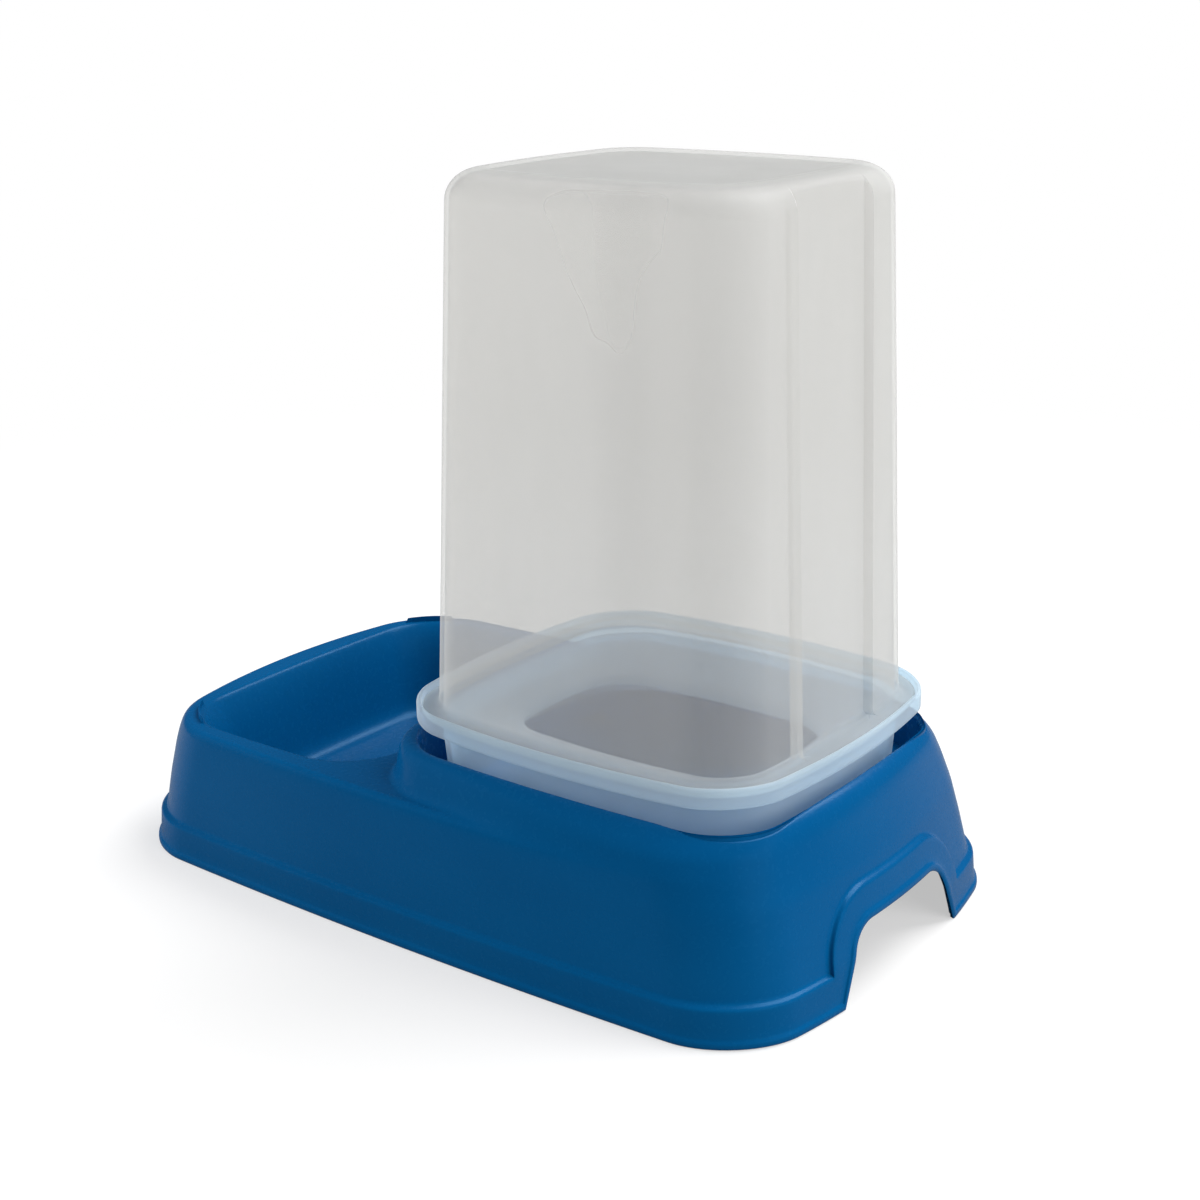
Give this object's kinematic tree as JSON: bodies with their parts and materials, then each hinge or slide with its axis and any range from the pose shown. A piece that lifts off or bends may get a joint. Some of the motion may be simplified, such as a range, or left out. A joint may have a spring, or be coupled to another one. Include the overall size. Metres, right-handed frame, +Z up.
{
  "type": "gravity pet feeder",
  "caption": "Gravity dry-food feeder: a moulded base with a bowl and a raised socket, a funnel lid standing in the socket, and an upside-down see-through hopper on the lid.",
  "frame": {"origin": "middle of the base's footprint, on the surface it stands on", "axes": "+Z up, +X from the bowl towards the hopper, Y across"},
  "size_m": [0.3245, 0.1976, 0.281],
  "materials": {
    "base_plastic": "blue polypropylene, fine satin texture",
    "lid_plastic": "milky see-through polypropylene",
    "hopper_plastic": "milky see-through polypropylene, smooth"
  },
  "bodies": {
    "base": {"feeder_base": "base_plastic"},
    "lid": {"funnel_lid": "lid_plastic"},
    "tub": {"hopper": "hopper_plastic"}
  },
  "joints": [
    {"name": "lid_lift", "type": "slide", "parent": "base", "child": "lid", "axis": [0, 0, 1], "range_m": [0, 0.06]},
    {"name": "hopper_lift", "type": "slide", "parent": "lid", "child": "tub", "axis": [0, 0, 1], "range_m": [0, 0.05]}
  ]
}
